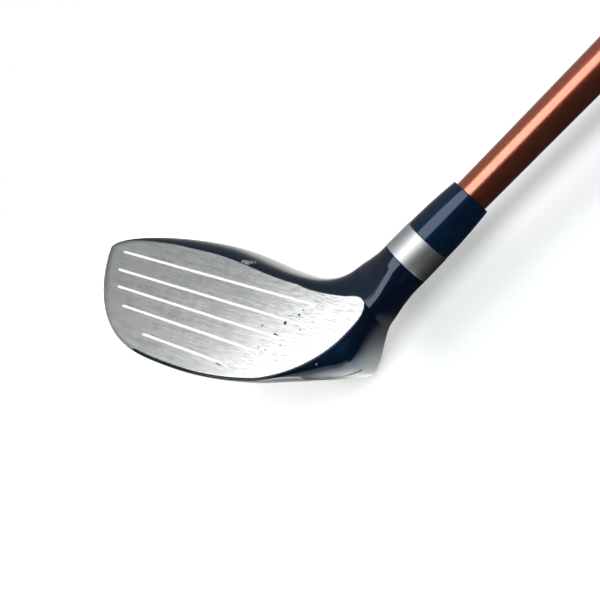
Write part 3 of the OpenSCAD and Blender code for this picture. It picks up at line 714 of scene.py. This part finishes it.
def head_skin(material):
    """Rings through the four arcs of each section, closed over the face pocket, from toe to hosel."""
    x, turn = head_stations()
    arcs = section_arcs(x, turn)
    r = arcs["rails"]
    t = {k: shares(n)[:-1] for k, n in arc_steps.items()}
    outer = np.hstack([arcs[k](t[k]) for k in arc_steps] + [r["lower"][:, None]])

    (rail_y, rail_q), (low_y, low_q) = r["upper"].T, r["lower"].T
    upper_q, lower_q = (face_edge(x, turn, side, -face_gap) for side in (-1, 1))
    in_face = (turn < inset_turn(-face_gap)) & (x > face_mid_x - toe_reach - face_gap)
    open_face = in_face & (lower_q - upper_q > pocket_least)
    lower_shut, upper_shut = (mix(low_q, rail_q, k) for k in pocket_closed)
    upper_q = np.where(open_face, upper_q, upper_shut)
    lower_q = np.where(open_face, lower_q, lower_shut)
    rows = []
    for share, shut_share, deep in pocket_rows:
        q = mix(lower_q, upper_q, np.where(open_face, share, shut_share))
        k = np.clip((q - rail_q) / (low_q - rail_q), 0, 1)
        y = mix(rail_y, low_y, k) + deep * open_face * pocket_depth / np.cos(loft)
        rows.append(np.stack([y, q], -1)[:, None])
    rings = lift(x, turn, np.hstack([outer] + rows))

    foot = (rings[-1] @ shaft_dir).mean()
    spoke = rings[-1] - foot * shaft_dir
    straight = mix(foot, hosel_top - edge_round, shares(12, 1))
    up = np.append(straight, [hosel_top - edge_step, hosel_top, hosel_top])
    wide = np.append(np.full(len(straight), hosel_r), [hosel_r - edge_step, hosel_r - edge_round, tip_d / 2])
    hosel = spoke * wide[:, None, None] / hosel_r + up[:, None, None] * shaft_dir
    run = np.append(turn * lie * hosel_q, up - foot + lie * hosel_q)
    rings = flowing_neck(np.vstack([rings, hosel]), run)

    n = rings.shape[1]
    toe_point = [face_mid_x - toe_half, toe_y, toe_z]
    points = np.vstack([rings.reshape(-1, 3), [toe_point, hosel_top * shaft_dir]])
    sides = quad_grid(len(rings), n, wrap_columns=True)
    j = np.arange(n)
    after = (j + 1) % n
    toe_fan = np.stack([np.full(n, len(points) - 2), after, j], -1)
    last_ring = (len(rings) - 1) * n
    top_fan = np.stack([np.full(n, len(points) - 1), last_ring + j, last_ring + after], -1)
    faces = sides.tolist() + toe_fan.tolist() + top_fan.tolist()
    bare = np.vstack([bare_sole(x, turn, t, n), np.full((len(hosel), n), -far)]).ravel()
    values = {"bare": np.append(bare, [bare_toe_point, -far])}
    make_piece("head_skin", points, faces, "head_body", material, values=values)


# Face plate with its score lines cut in
def on_face(x, v, depth):
    """Points of the face plane, heelward, up the face and below it, at address."""
    x, v, depth = np.broadcast_arrays(x, v, depth)
    start = np.array([0, -face_progression, 0])
    return start + x[..., None] * [1.0, 0, 0] + v[..., None] * face_up - depth[..., None] * face_out


def face_outline(inset):
    """Outline of the face plate from its toe end, along the lower edge to the heel tip and back."""
    toe = face_mid_x - (toe_reach - inset) * np.cos(np.pi / 2 * shares(90, 1)[:-1])
    mid = mix(face_mid_x, notch_x, shares(60))
    fan = inset_turn(inset) * np.sin(np.pi / 2 * shares(80, 1))
    x = np.hstack([toe, mid, np.full(len(fan), notch_x)])
    turn = np.append(np.zeros(len(toe) + len(mid)), fan)

    def edge(side):
        q = face_edge(x, turn, side, inset)
        return np.stack([x + q * np.sin(turn * lie), (pivot_z - q * np.cos(turn * lie)) / np.cos(loft)], -1)

    toe_end = [[face_mid_x - toe_reach + inset, toe_z / np.cos(loft)]]
    return np.vstack([toe_end, edge(1), edge(-1)[-2::-1]])


def score_ends(i):
    """Toe and heel end of a score line, heelward along the face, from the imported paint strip."""
    mesh = nodes[f"score_paint_{i + 1}"].data
    co = np.zeros(len(mesh.vertices) * 3, np.float32)
    mesh.vertices.foreach_get("co", co)
    x = ((co.reshape(-1, 3) - rest_shift) @ turn_to_rest)[:, 0] * 1000
    return x.min() + score_w / 2, x.max() - score_w / 2


def score_loop(i):
    """A straight slot with half circles for ends."""
    toe, heel = score_ends(i)
    a = np.pi * shares(12)
    end = np.stack([np.sin(a), -np.cos(a)], -1) * score_w / 2
    return np.vstack([end + [heel, score_heights[i]], -end + [toe, score_heights[i]]])


def face_plate(material):
    """A plane with the score lines cut out, a rounded rim, a side wall, and floors in the lines."""
    loops = [face_outline(face_bevel)] + [score_loop(i) for i in range(len(score_heights))]
    counts = np.array([len(p) for p in loops])
    starts = np.append(0, np.cumsum(counts)[:-1])
    flat = np.vstack(loops)
    edges = np.vstack([s + np.stack([np.arange(n), (np.arange(n) + 1) % n], -1)
                       for s, n in zip(starts, counts)])
    got = geometry.delaunay_2d_cdt([Vector(p) for p in flat], edges.tolist(), [], 1, join_distance)
    plane = np.array([list(p) for p in got[0]])
    origin = np.array([o[0] for o in got[3]])
    back = np.empty(len(flat), int)
    back[origin] = np.arange(len(origin))
    triangles = np.array([list(f) for f in got[2]])
    middle = plane[triangles].mean(1)
    cut = np.zeros(len(triangles), bool)
    for i, v in enumerate(score_heights):
        toe, heel = score_ends(i)
        nearest = np.stack([np.clip(middle[:, 0], toe, heel), np.full(len(middle), v)], -1)
        cut |= np.linalg.norm(middle - nearest, axis=1) < score_w / 2
    points = [on_face(plane[:, 0], plane[:, 1], 0.0)]
    faces = triangles[~cut].tolist()
    total = len(plane)

    def strip(first, second, n):
        j = np.arange(n)
        return np.stack([first, first[(j + 1) % n], second[(j + 1) % n], second], -1).tolist()

    ring = back[starts[0] + np.arange(counts[0])]
    bend = np.pi / 2 * shares(4, 1)
    rim = zip(face_bevel * (1 - np.sin(bend)), face_bevel * (1 - np.cos(bend)))
    for inset, depth in [*rim, (0, face_show)]:
        p = face_outline(inset)
        points.append(on_face(p[:, 0], p[:, 1], depth))
        new = total + np.arange(counts[0])
        faces += strip(new, ring, counts[0])
        ring, total = new, total + counts[0]
    faces.append(ring[::-1].tolist())
    for s, n in zip(starts[1:], counts[1:]):
        p = flat[s:s + n]
        points.append(on_face(p[:, 0], p[:, 1], score_depth))
        new = total + np.arange(n)
        faces += strip(back[s + np.arange(n)], new, n)
        faces.append(new.tolist())
        total += n
    make_piece("face_plate_brushed", np.vstack(points), faces, "face_plate", material, sharp=10)


# Sole plate
def sole_plate(material):
    """A superellipse laid on the sole and rear arcs, a hair proud, with a quarter-round rim. Past the notch
    a millimetre of it is a degree of turn."""
    k = mix(*plate_ends, shares(plate_rows))
    toe_end = face_mid_x - toe_half + sole_plate_toe
    along = swing(k) * (notch_x - toe_end + sole_plate_heel)
    x = np.minimum(toe_end + along, notch_x)
    turn = np.maximum(along - (notch_x - toe_end), 0) / np.degrees(lie)
    half = plate_half * dome(2 * k - 1, plate_power)
    t = plate_mid + half[:, None] * (2 * shares(plate_columns) - 1)
    arcs = section_arcs(x, turn)
    front = arcs["sole"](np.clip(1 - t, 0, 1))
    behind = arcs["rear"](np.clip(2 - t, 0, 1))
    skin = lift(x, turn, np.where((t < 1)[..., None], front, behind))
    core = lift(x, turn, np.broadcast_to([crown_y, pivot_z - toe_z], (len(x), 1, 2)))
    out = (skin - core) / np.linalg.norm(skin - core, axis=-1, keepdims=True)

    def from_rim(n):
        """Steps in from the nearer end of n steps, as a share of the rim's width, held at 1."""
        i = np.arange(n + 1)
        return np.minimum(np.minimum(i, n - i) / plate_rim_steps, 1)

    inside = np.minimum(from_rim(plate_columns)[None], from_rim(plate_rows)[:, None])
    top = skin + out * (plate_rise * np.sqrt(1 - (1 - inside) ** 2))[..., None]
    under = skin - out * plate_sink
    rows, columns = top.shape[:2]
    upper = quad_grid(rows, columns)
    lower = upper[:, ::-1] + rows * columns
    number = np.arange(rows * columns).reshape(rows, columns)
    rim = np.hstack([number[0], number[1:, -1], number[-1, -2::-1], number[-2:0:-1, 0]])
    after = np.roll(rim, -1)
    sides = np.stack([rim, after, after + rows * columns, rim + rows * columns], -1)
    points = np.vstack([top.reshape(-1, 3), under.reshape(-1, 3)])
    faces = np.vstack([upper, lower, sides]).tolist()
    make_piece("sole_plate_satin", points, faces, "sole_plate", material)


# Turned pieces on the shaft axis
spoke_y = np.array([0, 1.0, 0])
spoke_x = np.cross(spoke_y, shaft_dir)


def turned_piece(name, radius, along, node, slot, material, columns):
    """A closed profile carried round the shaft axis: a radius, or one for each column, at each place."""
    a = 2 * np.pi * np.arange(columns) / columns
    radius = np.broadcast_to(np.asarray(radius, float).reshape(len(along), -1), (len(along), columns))
    spokes = np.cos(a)[:, None] * spoke_x + np.sin(a)[:, None] * spoke_y
    points = np.asarray(along, float)[:, None, None] * shaft_dir + radius[..., None] * spokes
    faces = quad_grid(len(along), columns, True, True)
    make_piece(name, points.reshape(-1, 3), faces.tolist(), node, material)


def rounded(corner, into, out, size):
    """Points of a small round at a corner of a profile: a parabola between two directions."""
    a = corner + size * (into - corner) / np.linalg.norm(into - corner)
    b = corner + size * (out - corner) / np.linalg.norm(out - corner)
    t = shares(5)[:, None]
    return (1 - t) ** 2 * a + 2 * t * (1 - t) * corner + t * t * b


def sleeve(name, radius, along, top_round, node, slot, material):
    """A wall round the shaft's tip, with its two outer edges rounded and a straight bore."""
    wall = np.stack([radius, along], -1)
    bore = np.array([[tip_d / 2, along[-1]], [tip_d / 2, along[0]]])
    profile = np.vstack([rounded(wall[0], bore[1], wall[1], edge_round), wall[1:-1],
                         rounded(wall[-1], wall[-2], bore[0], top_round), bore])
    turned_piece(name, *profile.T, node, slot, material, columns=160)


def hosel_ring(material):
    """A straight taper from the hosel's width."""
    sleeve("hosel_ring_turned", [hosel_r, ring_top_d / 2], [hosel_top, ring_top], edge_round,
           "hosel_ring", "ring_metal", material)


def ferrule(material):
    """A taper that swells by a parabola in its middle."""
    k = shares(32)
    radius = mix(ferrule_foot_d, ferrule_top_d, k) / 2 + ferrule_swell * 4 * k * (1 - k)
    sleeve("ferrule_polished", radius, mix(ring_top, ferrule_top, k), ferrule_round,
           "ferrule", "ferrule_plastic", material)


def shaft_r(a):
    """Radius of the shaft: that of the tip up to the tip's end, then a straight taper to the butt."""
    return mix(tip_d, butt_d, np.clip((a - tip_end) / (shaft_top - tip_end), 0, 1)) / 2


def shaft(material):
    """The shaft's radius along its length, and straight walls inside."""
    a = np.hstack([shaft_bottom, mix(hosel_top, tip_end, shares(8)), mix(tip_end, shaft_top, shares(60, 1))])
    bore = np.array([shaft_top, tip_end, shaft_bottom])
    radius = np.append(shaft_r(a), shaft_r(bore) - [butt_wall, tip_wall, tip_wall])
    turned_piece("shaft_copper", radius, np.append(a, bore), "shaft", "shaft_finish", material, columns=128)


def grip(material):
    """Tapered sleeve with a quarter-round lip: panels of crossed slanting grooves, and a ring groove between
    panels. The grooves are round troughs."""
    a = np.hstack([grip_lip * (1 - np.cos(np.pi / 2 * shares(4))),
                   mix(grip_lip, grip_lip_len, shares(6, 1)[:-1]),
                   np.arange(grip_lip_len, grip_len - grip_lip, grip_step), grip_len])
    base = np.where(a < grip_lip_len, grip_mouth_r,
                    mix(grip_mouth_r, grip_butt_r, (a - grip_lip_len) / (grip_len - grip_lip_len)))
    lip_drop = grip_lip - np.sqrt(np.maximum(0, grip_lip ** 2 - (grip_lip - a) ** 2))
    base = base - np.where(a < grip_lip, lip_drop, 0)
    band = (a - panel_first) % panel_pitch
    inside = (a > panel_first) & (a < panel_last)
    panel = np.where(inside, ease(np.minimum(band, panel_len - band) / panel_fade), 0)
    columns = 168
    lines = np.arange(columns)[None] / columns * groove_count
    slant = a[:, None] / groove_pitch
    spacing = 2 * np.pi * base[:, None] / groove_count

    def groove(k):
        return hollow(((k + 0.5) % 1 - 0.5) * spacing / groove_half)

    cut = np.maximum(groove(lines + slant), groove(lines - slant)) * panel[:, None] * groove_depth
    rings = hollow((band - (panel_len + panel_pitch) / 2) / ring_groove_half) * inside * groove_depth
    radius = base[:, None] - np.maximum(cut, rings[:, None])
    inner_r = np.array([shaft_r(shaft_top), shaft_r(grip_bottom)]) + tape
    radius = np.vstack([radius, np.repeat(inner_r[:, None], columns, 1)])
    along = np.append(a, [grip_len, 0]) + grip_bottom
    turned_piece("grip_patterned", radius, along, "grip", "grip_rubber", material, columns)


def grip_cap(material):
    """Cap with a half-round rim, a shallow dish that eases in, a ring groove, and the vent hole."""
    turn = np.pi * shares(16) - np.pi / 2
    flat_r = cap_r - cap_edge
    r = mix(flat_r, vent_d / 2 + vent_round, shares(40, 1)[:-1])
    dish = dish_depth * (ease((flat_r - r) / dish_run) + hollow((r - cap_groove_r) / cap_groove_half))
    radius = np.hstack([flat_r + cap_edge * np.cos(turn), r, [vent_d / 2, vent_d / 2]])
    along = np.hstack([shaft_top + cap_h / 2 * (1 + np.sin(turn)), club_length - dish,
                       club_length - vent_edge, shaft_top])
    turned_piece("grip_cap_moulded", radius, along, "grip_cap", "grip_rubber", material, columns=144)


head_skin(navy_lacquer())
face_plate(brushed_face())
sole_plate(sole_satin())
hosel_ring(turned_ring())
ferrule(ferrule_gloss())
shaft(copper_flake())
rubber = grip_rubber()
grip(rubber)
grip_cap(rubber)

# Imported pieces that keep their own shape
white = score_white()
kept = {f"score_paint_{i + 1}": white for i in range(len(score_heights))}
kept["tip_glue"] = hidden_finish("cured_epoxy", (0.62, 0.52, 0.28), (0.50, 0.40, 0.20), 0, 0.4)
kept["tip_weight"] = hidden_finish("turned_brass", (0.72, 0.50, 0.20), (0.60, 0.40, 0.15), 1, 0.32)
kept["grip_tape"] = hidden_finish("paper_tape", (0.60, 0.50, 0.36), (0.50, 0.41, 0.29), 0, 0.85)
for name, material in kept.items():
    for slot in nodes[name].material_slots:
        slot.material = material

# Floor as the camera sees it: its own glow, white away from the club; near it the glow is painted light
# under the head and painted shade beside the hosel, in metres at rest
floor_half = 8
floor_painted_glow, floor_painted_glow_x = (0.56, 0.16), (-0.475, -0.45)
floor_middle, floor_fade = (-0.45, 0, 0), (0.06, 0.3)

# Floor in the gloss of the club, a painted reflection: a painted pool of light by the heel, its levels from
# the middle out, and its fades
pool_at, pool_shape = (-0.480, -0.048, 0), (1.3, 0.55, 1)
pool_core, pool_levels = (0.0, 0.035), (3.8, 0.9)
pool_reach, pool_past = (0.08, 0.16), 0.08
# Painted shade: the pool dims on its side toward the club
pool_painted_shade_y, pool_painted_shade = (-0.044, -0.022), (1, 0.12)

# The painted pool's slanting end toward the shaft, the painted dim level past it, and the painted bright
# floor behind the club
pool_end_x, pool_end_y, pool_end_shift = (-0.470, -0.456), (-0.085, -0.045), (0.016, 0)
front_level = 0.02
behind_from_y, behind_y, behind_levels = (-0.026, -0.002), (0.03, 0.4), (1.0, 0.5)

# Brightness of the surround: behind the club from the horizon up, and on the camera's side
sky_behind, sky_behind_z = (0.28, 0.34), (0.3, 1)
sky_front, sky_side_y = 0.03, (-0.35, 0.15)

# Lamps: the point at address that they aim at, and how far from it they hang
lamp_aim, lamp_away = (-5.0, 0, 25), 0.76

# Camera at the photograph's place: millimetres at address
camera_at = (80.77, -147.93, 38.30)
camera_looks = (-0.4771, 0.8769, -0.0585)
camera_up = (-0.2359, -0.0637, 0.9697)
camera_lens, sensor = 35.4, 36
clip_start, clip_end = 0.005, 50


class Stage(Nodes):
    """Nodes of the floor or of the surround, with soft steps between levels."""
    steps_between = "SMOOTHSTEP"

    def __init__(self, owner):
        owner.use_nodes = True
        self.tree = owner.node_tree
        self.tree.nodes.clear()
        self.ray = self.node("LightPath").outputs

    def pick(self, ray, other, own):
        """One shader for a kind of ray, and another for all others."""
        inputs = {0: self.ray[ray], 1: other.outputs[0], 2: own.outputs[0]}
        return self.node("MixShader", inputs).outputs[0]


def floor_finish():
    """Pale floor that the camera sees as white with the club's shadow, its glow raised under the head and
    lowered beside the hosel as painted light and shade. In the gloss of the club it shows a painted
    reflection: bright behind the head and under the heel, and dim in front of the shaft."""
    material = bpy.data.materials.new("pale_floor")
    s = Stage(material)
    where = s.node("TexCoord").outputs["Object"]
    axes = s.node("SeparateXYZ", {0: where}).outputs
    paper = s.node("BsdfDiffuse", {"Color": (0.80, 0.825, 0.835)})
    # Painted light and shade: the glow the camera sees is raised under the head and lowered beside the hosel
    near = s.span(axes["X"], *floor_painted_glow_x, *floor_painted_glow)
    own = s.level(s.span(s.distance(where, floor_middle), *floor_fade), near, 1.0)
    glow = s.node("Emission", {"Strength": s.level(s.ray["Is Camera Ray"], 0.0, own)})
    lit = s.node("AddShader", {0: paper.outputs[0], 1: glow.outputs[0]})
    # Painted reflection: emission that only glossy rays see, shaped into a bright pool by the heel
    drawn = s.node("VectorMath", {0: where, 1: pool_shape}, operation="MULTIPLY").outputs[0]
    pool = s.distance(drawn, tuple(np.multiply(pool_at, pool_shape)))
    level = s.level(s.span(pool, *pool_reach), s.span(pool, *pool_core, *pool_levels), pool_past)
    level = s.math("MULTIPLY", level, s.span(axes["Y"], *pool_painted_shade_y, *pool_painted_shade))
    end = s.math("ADD", axes["X"], s.span(axes["Y"], *pool_end_y, *pool_end_shift))
    front = s.level(s.span(end, *pool_end_x, 1, 0), front_level, level)
    behind = s.span(axes["Y"], *behind_y, *behind_levels)
    painted_reflection_level = s.level(s.span(axes["Y"], *behind_from_y), front, behind)
    painted_reflection = s.node("Emission", {"Color": (0.96, 1, 0.95), "Strength": painted_reflection_level})
    s.node("OutputMaterial", {"Surface": s.pick("Is Glossy Ray", lit, painted_reflection)})
    return material


def studio_world():
    """Soft surround: white to the camera, brighter upward behind the club, dim on the camera's side."""
    world = bpy.data.worlds.new("studio")
    bpy.context.scene.world = world
    s = Stage(world)
    where = s.node("TexCoord").outputs["Generated"]
    axes = s.node("SeparateXYZ", {0: where}).outputs
    behind = s.span(axes["Z"], *sky_behind_z, *sky_behind)
    side = s.level(s.span(axes["Y"], *sky_side_y), sky_front, behind)
    sky = s.node("Background", {"Color": (0.97, 1, 1), "Strength": side})
    plain = s.node("Background", {"Color": (1, 1, 1)})
    s.node("OutputWorld", {"Surface": s.pick("Is Camera Ray", sky, plain)})


def softbox(name, toward, size, radiance, in_gloss=True):
    """An oval lamp in a direction from the head, which may stay out of reflections. Its energy is pi times
    its radiance times its area."""
    data = bpy.data.lights.new(name, "AREA")
    data.shape = "ELLIPSE"
    data.size, data.size_y = size
    data.energy = radiance * np.pi * size[0] * size[1] * np.pi / 4
    lamp = put(name, data)
    away = Vector(toward).normalized() * lamp_away
    lamp.location = Vector(place(lamp_aim).tolist()) + away
    lamp.rotation_euler = (-away).to_track_quat("-Z", "X").to_euler()
    lamp.visible_glossy = in_gloss


def photo_camera():
    """Camera with square axes from where it looks and its upward direction."""
    data = bpy.data.cameras.new("photo_camera")
    data.lens = camera_lens
    data.sensor_width = sensor
    data.clip_start = clip_start
    data.clip_end = clip_end
    camera = put("photo_camera", data)
    back, up, left = basis(-turn_to_rest @ camera_looks, turn_to_rest @ camera_up).T
    turn = Matrix(np.stack([-left, up, back], 1).tolist()).to_4x4()
    camera.matrix_world = Matrix.Translation(place(camera_at).tolist()) @ turn
    bpy.context.scene.camera = camera


floor_mesh = bpy.data.meshes.new("floor")
floor_corners = [(x * floor_half, y * floor_half, 0) for x, y in ((-1, -1), (1, -1), (1, 1), (-1, 1))]
floor_mesh.from_pydata(floor_corners, [], [(0, 1, 2, 3)])
floor_mesh.materials.append(floor_finish())
floor = put("floor", floor_mesh)

studio_world()
softbox("overhead", (0.09, -0.37, 0.93), (0.64, 0.95), 3.0)
softbox("fill", (0.2, -0.6, 0.75), (0.64, 0.95), 1.0, in_gloss=False)
softbox("back_fill", (0.1, 0.75, 0.7), (0.5, 0.5), 3.5, in_gloss=False)
photo_camera()
bpy.context.scene.view_settings.view_transform = "Standard"
